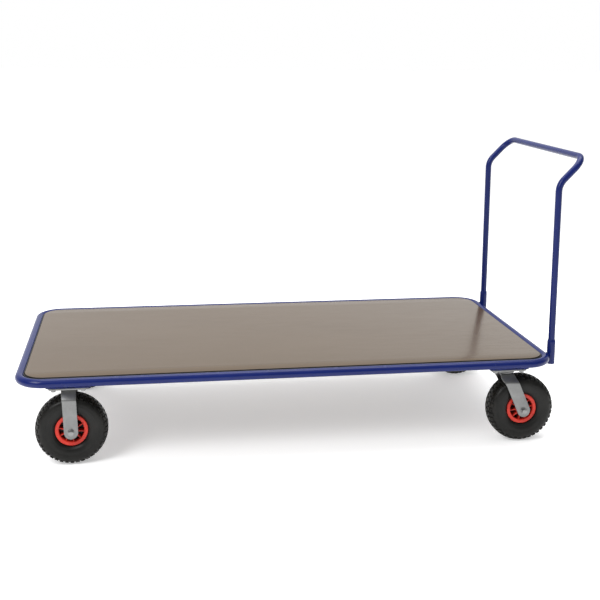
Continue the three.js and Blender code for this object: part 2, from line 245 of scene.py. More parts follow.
def plate(outline, holes, thickness, edge):
    """A flat plate about z = 0 with rounded edges, cut from an outline with holes."""
    curve = bpy.data.curves.new("plate", "CURVE")
    curve.dimensions = "2D"
    curve.fill_mode = "BOTH"
    curve.extrude = thickness / 2 - edge
    curve.bevel_depth = edge
    curve.bevel_resolution = 2
    for loop in [outline, *holes]:
        spline = curve.splines.new("POLY")
        spline.points.add(len(loop) - 1)
        spline.points.foreach_set("co", [c for x, y in loop for c in (x, y, 0, 1)])
        spline.use_cyclic_u = True
    holder = bpy.data.objects.new("plate", curve)
    mesh = bpy.data.meshes.new_from_object(holder)
    vertices = [v.co[:] for v in mesh.vertices]
    faces = [p.vertices[:] for p in mesh.polygons]
    bpy.data.objects.remove(holder)
    bpy.data.curves.remove(curve)
    bpy.data.meshes.remove(mesh)
    return vertices, faces


def hexagon(across, height, bore=0, both_ends=False):
    """A hexagon head or nut with a turned chamfer round its top, or round both ends."""
    flat = across / 2
    round_r = flat * 0.97
    rings = []
    for i in range(HEX_STEPS):
        a = 2 * math.pi * i / HEX_STEPS
        r = flat / math.cos((a + math.pi / 6) % (math.pi / 3) - math.pi / 6)
        drop = (r - round_r) * math.tan(math.radians(30))
        foot = [(round_r, 0), (r, drop)] if both_ends else [(r, 0), (r, 0)]
        profile = [(bore, 0), *foot, (r, height - drop), (round_r, height), (bore, height)]
        rings.append([(q * math.cos(a), q * math.sin(a), z) for q, z in profile])
    return skin(rings, loop=True)


# ---------------------------------------------------------------- pieces

def bounds_of(node):
    low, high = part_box(node)
    return np.array(low), np.array(high)


def middle_of(node):
    low, high = bounds_of(node)
    return (low + high) / 2


def finish_mesh(work, mesh):
    """Writes a working mesh back with outward faces, smooth shading and sharp creases."""
    bmesh.ops.recalc_face_normals(work, faces=work.faces)
    for face in work.faces:
        face.smooth = True
    for edge in work.edges:
        edge.smooth = len(edge.link_faces) == 2 and edge.calc_face_angle(0) < SHARP_ANGLE
    work.to_mesh(mesh)
    work.free()


def clean_mesh(name, solid):
    """The solid as a mesh with its coinciding points merged."""
    mesh = bpy.data.meshes.new(name)
    mesh.from_pydata(solid.vertices, [], solid.faces)
    work = bmesh.new()
    work.from_mesh(mesh)
    bmesh.ops.remove_doubles(work, verts=work.verts, dist=MERGE_DISTANCE)
    bmesh.ops.dissolve_degenerate(work, edges=work.edges, dist=MERGE_DISTANCE)
    finish_mesh(work, mesh)
    return mesh


def show(name, mesh, body, nodes=(), place=None):
    """Puts a mesh in the scene as a piece that rides on a body and stands for CAD nodes."""
    piece = bpy.data.objects.new(name, mesh)
    bpy.context.scene.collection.objects.link(piece)
    if place is not None:
        piece.matrix_world = place
    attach(piece, body)
    if nodes:
        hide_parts(*nodes)
    return piece


def painted(mesh, *materials):
    for material in materials:
        mesh.materials.append(material)
    return mesh


# ---------------------------------------------------------------- materials

class Look:
    """A Principled material and short calls for the nodes that drive it."""

    def __init__(self, name, **sockets):
        self.material = bpy.data.materials.new(name)
        self.material.use_nodes = True
        self.tree = self.material.node_tree
        self.surface = self.tree.nodes["Principled BSDF"]
        self.coordinates = self.node("TexCoord").outputs["Object"]
        for socket, value in sockets.items():
            self.surface.inputs[socket.replace("_", " ")].default_value = value

    def node(self, kind, settings=None, **inputs):
        made = self.tree.nodes.new("ShaderNode" + kind)
        for name, value in (settings or {}).items():
            setattr(made, name, value)
        for name, value in inputs.items():
            socket = made.inputs[name.replace("_", " ")]
            if isinstance(value, bpy.types.NodeSocket):
                self.tree.links.new(value, socket)
            else:
                socket.default_value = value
        return made

    def stretched(self, x, y, z):
        return self.node("Mapping", Vector=self.coordinates, Scale=(x, y, z)).outputs["Vector"]

    def noise(self, scale, detail=4.0, roughness=0.55, vector=None, distortion=0.0):
        made = self.node("TexNoise", Vector=vector or self.coordinates, Scale=scale, Detail=detail,
                         Roughness=roughness, Distortion=distortion)
        return made.outputs["Fac"]

    def cells(self, scale):
        return self.node("TexVoronoi", Vector=self.coordinates, Scale=scale).outputs["Distance"]

    def attribute(self, name):
        return self.node("Attribute", {"attribute_name": name}).outputs["Fac"]

    def remap(self, value, low, high, to_low, to_high):
        made = self.node("MapRange", Value=value)
        made.inputs["From Min"].default_value = low
        made.inputs["From Max"].default_value = high
        made.inputs["To Min"].default_value = to_low
        made.inputs["To Max"].default_value = to_high
        return made.outputs["Result"]

    def times(self, a, b):
        made = self.node("Math", {"operation": "MULTIPLY"})
        self.tree.links.new(a, made.inputs[0])
        if isinstance(b, bpy.types.NodeSocket):
            self.tree.links.new(b, made.inputs[1])
        else:
            made.inputs[1].default_value = b
        return made.outputs[0]

    def mixed(self, factor, a, b):
        made = self.node("Mix", {"data_type": "RGBA"})
        self.tree.links.new(factor, made.inputs[0])
        for socket, value in ((made.inputs[6], a), (made.inputs[7], b)):
            if isinstance(value, bpy.types.NodeSocket):
                self.tree.links.new(value, socket)
            else:
                socket.default_value = (*value, 1)
        return made.outputs[2]

    def bumped(self, height, distance, strength=1.0):
        made = self.node("Bump", Height=height, Distance=distance, Strength=strength)
        self.tree.links.new(made.outputs["Normal"], self.surface.inputs["Normal"])

    def drive(self, **sockets):
        for socket, value in sockets.items():
            self.tree.links.new(value, self.surface.inputs[socket.replace("_", " ")])
        return self


def blue_paint():
    """Gloss powder coat: slight orange peel, faint cloudiness, a few tiny chips down to primer."""
    look = Look("blue_powder_coat", Specular_IOR_Level=0.24)
    cloud = look.remap(look.noise(7.0, 5.0), 0.35, 0.65, 0, 1)
    paint = look.mixed(cloud, (0.0040, 0.0115, 0.098), (0.0050, 0.0132, 0.110))
    chip_place = look.remap(look.noise(11.0, 2.0), 0.66, 0.70, 0, 1)
    chip = look.times(look.remap(look.cells(85.0), 0.10, 0.05, 0, 1), chip_place)
    look.drive(Base_Color=look.mixed(chip, paint, (0.10, 0.11, 0.13)))
    look.drive(Roughness=look.remap(look.noise(24.0, 6.0), 0.3, 0.7, 0.23, 0.28))
    look.bumped(look.noise(420.0, 2.0), 0.12 * MM, 0.35)
    return look.material


def board_film():
    """Phenolic film: brown, satin, with cloudy pressing marks along the board and fine handling scuffs."""
    look = Look("phenolic_film", Specular_IOR_Level=0.38)
    cloud = look.remap(look.noise(1.0, 6.0, 0.6, look.stretched(1.6, 4.0, 1.0), 0.6), 0.32, 0.68, 0, 1)
    grain = look.remap(look.noise(1.0, 5.0, 0.7, look.stretched(9.0, 130.0, 1.0)), 0.3, 0.7, 0, 1)
    base = look.mixed(cloud, (0.080, 0.050, 0.024), (0.090, 0.058, 0.030))
    base = look.mixed(look.times(grain, 0.15), base, (0.090, 0.066, 0.042))
    speckle = look.times(look.remap(look.cells(260.0), 0.16, 0.06, 0, 1), 0.10)
    look.drive(Base_Color=look.mixed(speckle, base, (0.26, 0.22, 0.18)))
    scuff = look.noise(1.0, 4.0, 0.65, look.stretched(6.0, 55.0, 1.0), 1.2)
    look.drive(Roughness=look.remap(scuff, 0.35, 0.72, 0.20, 0.27))
    look.bumped(look.noise(900.0, 3.0), 0.05 * MM, 0.3)
    return look.material


def board_edge():
    """Black edge sealer brushed over the plies."""
    look = Look("sealed_edge", Specular_IOR_Level=0.35)
    plies = look.noise(1.0, 3.0, 0.6, look.stretched(12.0, 12.0, 700.0))
    look.drive(Base_Color=look.mixed(plies, (0.006, 0.006, 0.007), (0.022, 0.019, 0.017)))
    look.drive(Roughness=look.remap(look.noise(60.0), 0.3, 0.7, 0.45, 0.7))
    look.bumped(plies, 0.3 * MM, 0.5)
    return look.material


def zinc(name, shade, low_roughness, high_roughness, spangle):
    """Zinc plating on pressed steel: mottled, with faint rolling lines and dull patches."""
    look = Look(name, Metallic=0.82, Specular_IOR_Level=0.5)
    patches = look.remap(look.noise(spangle, 6.0, 0.65, None, 0.5), 0.3, 0.7, 0, 1)
    light = tuple(shade * c for c in (1.0, 1.01, 1.0))
    dark = tuple(0.74 * c for c in light)
    lines = look.noise(1.0, 3.0, 0.6, look.stretched(90.0, 90.0, 900.0))
    base = look.mixed(patches, dark, light)
    look.drive(Base_Color=look.mixed(look.times(lines, 0.25), base, tuple(0.55 * c for c in light)))
    look.drive(Roughness=look.remap(look.noise(spangle * 3, 5.0), 0.3, 0.7, low_roughness, high_roughness))
    look.bumped(look.noise(700.0, 4.0), 0.06 * MM, 0.35)
    return look.material


def turned_steel():
    """Machined steel with turning marks under a film of grease."""
    look = Look("turned_steel", Metallic=1.0)
    marks = look.noise(1.0, 2.0, 0.5, look.stretched(4.0, 900.0, 4.0))
    grease = look.remap(look.noise(40.0, 4.0), 0.4, 0.65, 0, 1)
    steel = look.mixed(marks, (0.36, 0.36, 0.37), (0.50, 0.50, 0.51))
    look.drive(Base_Color=look.mixed(look.times(grease, 0.5), steel, (0.12, 0.10, 0.08)))
    look.drive(Roughness=look.remap(marks, 0.3, 0.7, 0.22, 0.40))
    look.bumped(marks, 0.05 * MM, 0.5)
    return look.material


def rubber():
    """Black tyre rubber with a dry bloom and dust on the tread."""
    look = Look("tyre_rubber", Specular_IOR_Level=0.22)
    bloom = look.remap(look.noise(16.0, 6.0, 0.65), 0.38, 0.68, 0, 1)
    base = look.mixed(bloom, (0.0055, 0.0055, 0.0048), (0.0105, 0.0102, 0.0088))
    dust = look.times(look.attribute("tread"), look.remap(look.noise(70.0, 5.0), 0.45, 0.75, 0, 0.5))
    look.drive(Base_Color=look.mixed(dust, base, (0.045, 0.041, 0.035)))
    look.drive(Roughness=look.remap(look.noise(45.0, 5.0), 0.3, 0.7, 0.32, 0.46))
    look.bumped(look.noise(520.0, 4.0), 0.12 * MM, 0.5)
    return look.material


def red_plastic():
    """Moulded red plastic, with painted shade that darkens it deep between the ribs."""
    look = Look("red_plastic", Specular_IOR_Level=0.32)
    flow = look.remap(look.noise(22.0, 4.0), 0.35, 0.65, 0, 1)
    base = look.mixed(flow, (0.54, 0.026, 0.014), (0.62, 0.034, 0.018))
    # Painted shade: the red turns dark maroon by each point's depth between the ribs.
    painted_shade = look.attribute("recess_shade")
    look.drive(Base_Color=look.mixed(painted_shade, base, (0.030, 0.005, 0.004)))
    look.drive(Roughness=look.remap(look.noise(60.0, 4.0), 0.3, 0.7, 0.34, 0.48))
    look.bumped(look.noise(300.0, 3.0), 0.08 * MM, 0.4)
    return look.material


# ---------------------------------------------------------------- frame, board and handle

def frame_ring(paint):
    """The frame's two bent tubes, welded and ground smooth into one ring."""
    low, _ = bounds_of("frame_tube_front")
    _, high = bounds_of("frame_tube_rear")
    middle = (low + high) / 2
    reach = (high - low) / 2 - FRAME_TUBE_R
    outline = rounded_rectangle(2 * reach[0], 2 * reach[1], FRAME_CORNER_R, 28)
    path = [np.array([x + middle[0], y + middle[1], middle[2]]) for x, y in outline]
    solid = Solid().add(*skin(tube_rings(path, FRAME_TUBE_R, 48, loop=True), loop=True))
    mesh = painted(clean_mesh("frame_ring", solid), paint)
    show("frame_ring", mesh, "chassis", ["frame_tube_front", "frame_tube_rear"])


def cross_member(node, paint):
    low, high = bounds_of(node)
    width, height = high[0] - low[0], high[2] - low[2]
    outline = rounded_rectangle(width, height, MEMBER_CORNER, 6)
    bore = rounded_rectangle(width - 2 * MEMBER_WALL, height - 2 * MEMBER_WALL, MEMBER_CORNER / 2, 6)
    solid = Solid().add(*plate(outline, [bore], high[1] - low[1], 0.3 * MM))
    place = Matrix.Translation(middle_of(node)) @ Matrix.Rotation(math.pi / 2, 4, "X")
    mesh = painted(clean_mesh(node, solid), paint)
    show(node + "_tube", mesh, "chassis", [node], place)


def frame_welds(members, paint):
    """Beads where the cross members and the sockets meet the frame, and along the castor mounts."""
    solid = Solid()
    ring_low, ring_high = bounds_of("frame_tube_front")
    centre_z = (ring_low[2] + ring_high[2]) / 2
    centre_y = ring_high[1] - FRAME_TUBE_R
    for node in members:
        low, high = bounds_of(node)
        for side in (-1, 1):
            start_z = centre_z - MEMBER_WELD_DROP
            corners = [(low[0], start_z), (low[0], high[2]), (high[0], high[2]), (high[0], start_z)]
            path = []
            for x, z in resampled(filleted(corners, MEMBER_CORNER), 1 * MM):
                inset = math.sqrt(FRAME_TUBE_R ** 2 - (z - centre_z) ** 2)
                path.append((x, side * (centre_y - inset), z))
            solid.add(*bead(path))
    for side_name in SIDES:
        low, high = bounds_of("handle_socket_" + side_name)
        centre = (low + high) / 2
        path = []
        for a in np.linspace(0, 2 * math.pi, 60):
            x = low[0] + SOCKET_WELD_BOW * math.cos(2 * a)
            path.append((x, centre[1] + SOCKET_WELD_R * math.cos(a), centre_z + SOCKET_WELD_R * math.sin(a)))
        solid.add(*bead(path, 1.2 * WELD_R, loop=True))
        for end, member in (("fixed", members[0]), ("swivel", members[-1])):
            mount_low, mount_high = bounds_of(f"mounting_plate_{end}_{side_name}")
            member_low, member_high = bounds_of(member)
            ends = (mount_low[1] + MOUNT_WELD_INSET, mount_high[1] - MOUNT_WELD_INSET)
            for x in (member_low[0], member_high[0]):
                solid.add(*bead([(x, y, mount_high[2]) for y in ends]))
    show("frame_welds", painted(clean_mesh("frame_welds", solid), paint), "chassis")


def deck_board(film, sealer):
    low, high = bounds_of("deck_board")
    size = high - low
    length, width = size[0] - 2 * DECK_EDGE, size[1] - 2 * DECK_EDGE
    outline = rounded_rectangle(length, width, DECK_CORNER_R - DECK_EDGE, 24)
    solid = Solid().add(*plate(outline, [], size[2], DECK_EDGE))
    mesh = painted(clean_mesh("deck_board", solid), film, sealer)
    for face in mesh.polygons:
        face.material_index = 0 if abs(face.normal.z) > 0.9 else 1
    place = Matrix.Translation((low + high) / 2)
    show("film_faced_board", mesh, "chassis", ["deck_board"], place)


def deck_gap_shade(rubber):
    """The black strip that fills the groove between the board and the frame tube: painted shade in place of
    the shadowed gap.
    """
    low, high = bounds_of("deck_board")
    centre, size = (low + high) / 2, high - low + 2 * SHADE_STRIP_OUTSET
    outline = rounded_rectangle(size[0], size[1], DECK_CORNER_R + SHADE_STRIP_OUTSET, 24)
    path = [np.array([x + centre[0], y + centre[1], high[2] - SHADE_STRIP_DEPTH]) for x, y in outline]
    # Painted shade: a black rubber ring just below the board's top, all round the groove.
    solid = Solid().add(*skin(tube_rings(path, SHADE_STRIP_R, 16, loop=True), loop=True))
    show("deck_gap_shade_strip", painted(clean_mesh("deck_gap_shade", solid), rubber), "chassis")


def deck_screws(members, metal):
    """Self-drilling screws that hold the board down, with their heads under the cross members."""
    solid = Solid()
    head = hexagon(8 * MM, 4 * MM)
    flange = turned([(0, 0), (6.5 * MM, 0), (6.2 * MM, 0.8 * MM), (4 * MM, 1.1 * MM), (0, 1.1 * MM)], 32)
    for node in members:
        low, high = bounds_of(node)
        spread = CASTOR_SCREW_SPREAD if node in (members[0], members[-1]) else SCREW_SPREAD
        for y in (-spread, 0, spread):
            spot = Matrix.Translation(((low[0] + high[0]) / 2, y, low[2]))
            place = spot @ Matrix.Rotation(math.pi, 4, "X")
            solid.add(*flange, place)
            solid.add(*head, place @ Matrix.Translation((0, 0, 0.9 * MM)))
    show("deck_screws", painted(clean_mesh("deck_screws", solid), metal), "chassis")


def handle_socket(side_name, paint):
    """A closed-bottom tube with a chamfered mouth."""
    node = "handle_socket_" + side_name
    low, high = bounds_of(node)
    height = high[2] - low[2]
    corners = [(0, 0), (SOCKET_R, 0), (SOCKET_R, height - SOCKET_CHAMFER), (SOCKET_BORE + 0.7 * MM, height)]
    corners += [(SOCKET_BORE, height), (SOCKET_BORE, SOCKET_FLOOR), (0, SOCKET_FLOOR)]
    profile = filleted(corners, [1.2 * MM, 3 * MM, 0.5 * MM, 0, 0], 4)
    solid = Solid().add(*turned([tuple(p) for p in profile], 64))
    place = Matrix.Translation(((low[0] + high[0]) / 2, (low[1] + high[1]) / 2, low[2]))
    show(node + "_tube", painted(clean_mesh(node, solid), paint), "chassis", [node], place)


def push_handle(paint):
    low, high = bounds_of("push_handle")
    near_x, far_x = low[0] + HANDLE_TUBE_R, high[0] - HANDLE_TUBE_R
    span = high[1] - HANDLE_TUBE_R
    top = high[2] - HANDLE_TUBE_R
    corners = [(near_x, -span, low[2]), (near_x, -span, HANDLE_CRANK_Z), (far_x, -span, top)]
    corners += [(far_x, span, top), (near_x, span, HANDLE_CRANK_Z), (near_x, span, low[2])]
    path = filleted(corners, HANDLE_RADII, 20)
    solid = Solid().add(*pipe(path, HANDLE_TUBE_R, HANDLE_TUBE_R - HANDLE_WALL, 40))
    mesh = painted(clean_mesh("push_handle", solid), paint)
    show("handle_hoop", mesh, "handle", ["push_handle"])


# ---------------------------------------------------------------- castors

def bolted_plate(node, corner, material):
    low, high = bounds_of(node)
    size = high - low
    inner = 2 * PLATE_EDGE
    outline = rounded_rectangle(size[0] - inner, size[1] - inner, corner - PLATE_EDGE)
    holes = []
    for x in (-0.5, 0.5):
        for y in (-0.5, 0.5):
            hole = circle(BOLT_HOLE_R + PLATE_EDGE, 32, x * BOLT_SPACING[0], y * BOLT_SPACING[1])
            holes.append(hole[::-1])
    solid = Solid().add(*plate(outline, holes, size[2], PLATE_EDGE))
    place = Matrix.Translation((low + high) / 2)
    show(node + "_steel", painted(clean_mesh(node, solid), material), "chassis", [node], place)


def plate_fasteners(name, metal):
    """Four bolts up through the castor plate and its mount, with nuts on top."""
    plate_low, plate_high = bounds_of("castor_plate_" + name)
    _, mount_high = bounds_of("mounting_plate_" + name)
    centre = (plate_low + plate_high) / 2
    washer, head, nut, tail = 1.8 * MM, 6.4 * MM, 8 * MM, 3 * MM
    shank_r, washer_r, across = 4.9 * MM, 10.2 * MM, 16.5 * MM
    bottom, top = plate_low[2], mount_high[2] + washer + nut + tail
    shank = [(0, bottom), (shank_r, bottom), (shank_r, top - 1 * MM), (0.8 * shank_r, top), (0, top)]
    past_washer = Matrix.Translation((0, 0, washer))
    solid = Solid()
    for x in (-0.5, 0.5):
        for y in (-0.5, 0.5):
            spot = Matrix.Translation((centre[0] + x * BOLT_SPACING[0], centre[1] + y * BOLT_SPACING[1], 0))
            below = spot @ Matrix.Translation((0, 0, bottom)) @ Matrix.Rotation(math.pi, 4, "X")
            solid.add(*collar(shank_r, washer_r, 0, washer, 0.4 * MM), below)
            solid.add(*hexagon(across, head), below @ past_washer)
            above = spot @ Matrix.Translation((0, 0, mount_high[2]))
            solid.add(*collar(shank_r, washer_r, 0, washer, 0.4 * MM), above)
            solid.add(*hexagon(across, nut, shank_r, both_ends=True), above @ past_washer)
            solid.add(*turned(shank, 24), spot)
    mesh = painted(clean_mesh("plate_fasteners", solid), metal)
    show("plate_fasteners_" + name, mesh, "chassis")


def collar(inner, outer, low, high, edge):
    """A ring about Z with rounded edges."""
    profile = rounded_rectangle(outer - inner, high - low, edge, 4)
    return turned([(r + (inner + outer) / 2, z + (low + high) / 2) for r, z in profile], 48)


def fork_outline(web_top, shoulder, trail, axle_z):
    """The side view of a fork, in (x, z), from its web at x = 0 to round feet about an axle at x = trail."""
    axle = np.array([trail, axle_z])
    down = unit(axle - np.array([0, web_top]))
    across = np.array([-down[1], down[0]])
    web_low = web_top - 3 * FORK_STRIP

    def edge_at(side, z):
        edge = axle + side * LEG_HALF * across
        return edge + down * (z - edge[1]) / down[1]

    shoulder_low = web_top - shoulder
    front = edge_at(1, shoulder_low)
    corners = [edge_at(-1, axle_z + LEG_HALF), edge_at(-1, shoulder_low - LEG_HALF / 2)]
    corners += [(-FORK_WEB_REACH, web_low), (-FORK_WEB_REACH, web_top + MM), (FORK_WEB_REACH, web_top + MM)]
    corners += [(max(FORK_WEB_REACH, front[0] - 8 * MM), web_low), front, edge_at(1, axle_z + LEG_HALF)]
    body = filleted(corners, [14 * MM, 10 * MM, 0, 0, 10 * MM, 14 * MM], 8)
    start = math.atan2(across[1], across[0])
    foot = [axle + LEG_HALF * np.array([math.cos(start - a), math.sin(start - a)])
            for a in np.linspace(0, math.pi, 60)]
    return np.concatenate([body, foot])


def slice_limits(outline, z):
    """The lowest and highest x where a level line crosses the outline."""
    crossings = []
    for a, b in zip(outline, np.roll(outline, -1, axis=0)):
        if (a[1] - z) * (b[1] - z) <= 0 and a[1] != b[1]:
            crossings.append(a[0] + (z - a[1]) * (b[0] - a[0]) / (b[1] - a[1]))
    return min(crossings), max(crossings)


def fork_solid(web_top, shoulder, trail, axle_z, half_width):
    """A strip bent over the wheel, with soft bends, rounded edges and round feet."""
    outline = fork_outline(web_top, shoulder, trail, axle_z)
    low = axle_z - LEG_HALF
    knee = web_top - shoulder
    foot_turns = np.radians(np.linspace(4, 90, 16))
    foot = [(-half_width, low + LEG_HALF * (1 - math.cos(a))) for a in foot_turns]
    corners = [foot[-1], (-half_width, knee), (-FORK_WEB_HALF, web_top)]
    corners += [(-y, z) for y, z in corners[::-1]]
    over = resampled(filleted(corners, FORK_BEND_R, 8), 2 * MM)
    path = np.concatenate([foot[:-1], over, [(-y, z) for y, z in foot[-2::-1]]])
    rings = []
    for i, (y, z) in enumerate(path):
        step = path[min(i + 1, len(path) - 1)] - path[max(i - 1, 0)]
        inward = unit(np.array([step[1], -step[0]]))
        left, right = slice_limits(outline, z)
        middle, width = (left + right) / 2, right - left
        section = rounded_rectangle(width, FORK_STRIP, min(1.0 * MM, 0.45 * width), 3)
        centre = np.array([y, z])
        rings.append([(middle + u, *(centre + inward * (FORK_STRIP / 2 + w))) for u, w in section])
    return Solid().add(*skin(rings))


def fork(name, body, metal):
    node = "fork_" + name
    low, high = bounds_of(node)
    wheel = middle_of("rim_" + name)
    end, side_name = name.split("_")
    pivot_x = middle_of("castor_plate_" + name)[0]
    trail, half_width = wheel[0] - pivot_x, (high[1] - low[1]) / 2
    solid = fork_solid(high[2], FORK_SHOULDER[end], trail, wheel[2], half_width)
    place = Matrix.Translation((pivot_x, wheel[1], 0))
    mesh = painted(clean_mesh(node, solid), metal)
    show(node + "_strip", mesh, body, [node], place)
    if end == "swivel":
        swivel_head(side_name, place, metal)


def swivel_head(side_name, place, metal):
    """The ball race between the castor plate and the fork: a pressed cup over a grooved ring."""
    node = "swivel_race_" + side_name
    low, high = bounds_of(node)
    outer = (high[0] - low[0]) / 2
    bore = 12 * MM
    height = high[2] - low[2]
    groove = outer - 2.6 * MM
    corners = [(bore, 0), (outer - 3 * MM, 0), (outer, 2.5 * MM), (outer, 6.2 * MM), (groove, 7.2 * MM)]
    corners += [(groove, 8.2 * MM), (outer, 8.8 * MM), (outer, height - 4 * MM)]
    corners += [(outer - 4 * MM, height), (bore, height), (bore, 0)]
    profile = filleted(corners, [1 * MM, 1 * MM, 0.8 * MM, 0, 0, 0.8 * MM, 1.5 * MM, 2 * MM, 0], 4)
    solid = Solid().add(*turned([tuple(p) for p in profile], 96))
    spot = place @ Matrix.Translation((0, 0, low[2]))
    mesh = painted(clean_mesh(node, solid), metal)
    show(node + "_cup", mesh, "chassis", [node], spot)


def kingpin(side_name, steel):
    node = "kingpin_" + side_name
    low, high = bounds_of(node)
    centre = (low + high) / 2
    place = Matrix.Translation((centre[0], centre[1], low[2]))
    height = high[2] - low[2]
    head = 6 * MM
    shank_r = 8 * MM
    solid = Solid().add(*hexagon(21 * MM, head, both_ends=True))
    shank = [(0, 0.5 * MM), (shank_r, 0.5 * MM), (shank_r, height - MM), (shank_r - MM, height), (0, height)]
    solid.add(*turned(shank, 48))
    show(node + "_bolt", painted(clean_mesh(node, solid), steel), "chassis", [node], place)


# ---------------------------------------------------------------- wheels

TYRE_BEAD_R = 58.9 * MM
TYRE_WIDE_R = 92 * MM  # radius at which the tyre is widest
TYRE_HALF_WIDTH = 41.6 * MM
TYRE_CROWN_R = 126.2 * MM  # bottom of the tread grooves
TYRE_BEAD_HALF = 26.2 * MM
TREAD_ROWS = ((-8.0, 8.0, 0.0), (11.5, 23.0, 0.5), (26.5, 38.0, 0.0))  # mm from the crown's middle, phase
SHORT_LUG = 33.0  # mm, where every second shoulder lug ends
TREAD_SHADE_R = 105 * MM  # the dusty tread's look starts at this radius
SIDE_RINGS = (57.5, 61.0, 86.0)  # mm, fine moulded rings on the sidewall
BLOCK_SHARE = (0.18, 0.82)  # part of a pitch that a block fills
BLOCK_RAMP = 0.035


def tyre_section():
    """Half the tyre's outline as (r, y) from crown to bead, and each point's distance along it in mm."""
    squareness = 2 / 2.7
    points = []
    for t in np.linspace(0, math.pi / 2, 200):
        r = TYRE_WIDE_R + (TYRE_CROWN_R - TYRE_WIDE_R) * math.cos(t) ** squareness
        points.append((r, TYRE_HALF_WIDTH * math.sin(t) ** squareness))
    for t in np.linspace(0, math.pi / 2, 120)[1:]:
        r = TYRE_WIDE_R - (TYRE_WIDE_R - TYRE_BEAD_R - 1 * MM) * math.sin(t)
        points.append((r, TYRE_BEAD_HALF + (TYRE_HALF_WIDTH - TYRE_BEAD_HALF) * math.cos(t)))
    points = np.array(points)
    steps = np.linalg.norm(np.diff(points, axis=0), axis=1)
    return points, np.concatenate([[0], np.cumsum(steps)]) / MM


def ramp_between(value, low, high, ramp):
    """1 between low and high, falling to 0 over a short ramp at each."""
    inside = np.minimum(value - low, high - value) / ramp + 0.5
    return np.clip(inside, 0, 1)


def tread_height(travel, pitch, flip):
    """0 to 1: how much tread block there is at a distance from the crown and a place around the tyre."""
    height = 0.0
    for low, high, phase in TREAD_ROWS:
        place = pitch + phase + (0.5 if flip and low > 25 else 0)
        row_high = SHORT_LUG if low > 25 and int(place) % 2 else high
        across = ramp_between(travel, low if low > 0 else -99, row_high, 0.8)
        around = ramp_between(place % 1.0, *BLOCK_SHARE, BLOCK_RAMP)
        height = max(height, float(across * around))
    return height


def tyre_mesh(material):
    """A pneumatic tyre turned about Y: block tread over the crown, shoulder lugs and ringed sidewalls."""
    section, travel = tyre_section()
    edges = []
    for low, high, _ in TREAD_ROWS:
        edges += [low - 0.4, low + 0.4, high - 0.4, high + 0.4]
    edges += [SHORT_LUG - 0.4, SHORT_LUG + 0.4]
    for ring in SIDE_RINGS:
        edges += [ring - 0.8, ring - 0.3, ring + 0.3, ring + 0.8]
    stations = [0] + [e for e in edges if e > 0.5] + list(np.arange(2, travel[-1], 2.6)) + [travel[-1]]
    stations = np.unique(np.round(stations, 2))
    radius = np.interp(stations, travel, section[:, 0])
    width = np.interp(stations, travel, section[:, 1])
    along_r, along_y = np.gradient(radius, stations), np.gradient(width, stations)
    length = np.hypot(along_r, along_y)
    normal_r, normal_y = along_y / length, -along_r / length
    side_ring = sum(ramp_between(stations, ring - 0.4, ring + 0.4, 0.6) for ring in SIDE_RINGS) * 0.5 * MM
    pitch_stops = []
    for edge in (*BLOCK_SHARE, (BLOCK_SHARE[0] + 0.5) % 1, (BLOCK_SHARE[1] + 0.5) % 1):
        pitch_stops += [edge - BLOCK_RAMP / 2, edge + BLOCK_RAMP / 2]
    pitch_stops = sorted(pitch_stops + [0.0, 0.25, 0.5, 0.75])
    toe = [(51.4 * MM, 24.5 * MM), (52.2 * MM, TYRE_BEAD_HALF - 0.3 * MM)]
    toe.append((TYRE_BEAD_R, TYRE_BEAD_HALF - 0.1 * MM))
    rings, treads = [], []
    for i in range(TREAD_PITCHES):
        for stop in pitch_stops:
            angle = 2 * math.pi * (i + stop) / TREAD_PITCHES
            halves = []
            for flip in (False, True):
                height = np.array([tread_height(s, i + stop, flip) for s in stations])
                lift = height * TREAD_DEPTH + side_ring
                halves.append((radius + normal_r * lift, width + normal_y * lift, height))
            ring, tread = [], []
            sign = 1
            for (r, y, h), order in zip(halves, (1, -1)):
                outline = [(a, sign * b, c) for a, b, c in zip(r, y, h)]
                outline += [(a, sign * b, 0.0) for a, b in toe[::-1]]
                outline = outline[::order]
                if order < 0:
                    outline = outline[:-1]
                ring += [(a * math.cos(angle), b, a * math.sin(angle)) for a, b, _ in outline]
                tread += [0.25 + 0.75 * c if a > TREAD_SHADE_R else 0.0 for a, _, c in outline]
                sign = -1
            rings.append(ring)
            treads += tread
    vertices, faces = skin(rings, loop=True)
    mesh = bpy.data.meshes.new("tyre")
    mesh.from_pydata(vertices, [], faces)
    mesh.attributes.new("tread", "FLOAT", "POINT").data.foreach_set("value", treads)
    work = bmesh.new()
    work.from_mesh(mesh)
    finish_mesh(work, mesh)
    return painted(mesh, material)


RIM_FACE = 30.9 * MM
RIM_WALL_R = 44.6 * MM
RIM_FLANGE_R = 58.5 * MM
RIM_SEAT_R = 50.6 * MM
RIM_SEAT_HALF = 26.6 * MM
RIM_HUB_R = 21.2 * MM
RIM_HUB_HALF = 37.4 * MM
RIM_BORE = 14.3 * MM
RIM_WEB_HALF = 3 * MM
RIB_HALF = 1.3 * MM
RIB_ROOT = 1 * MM
RIB_AT_HUB = 34 * MM  # how far the ribs stand out from the rim's middle plane
RIB_MIDWAY = 27.5 * MM
RIB_AT_WALL = 25.5 * MM


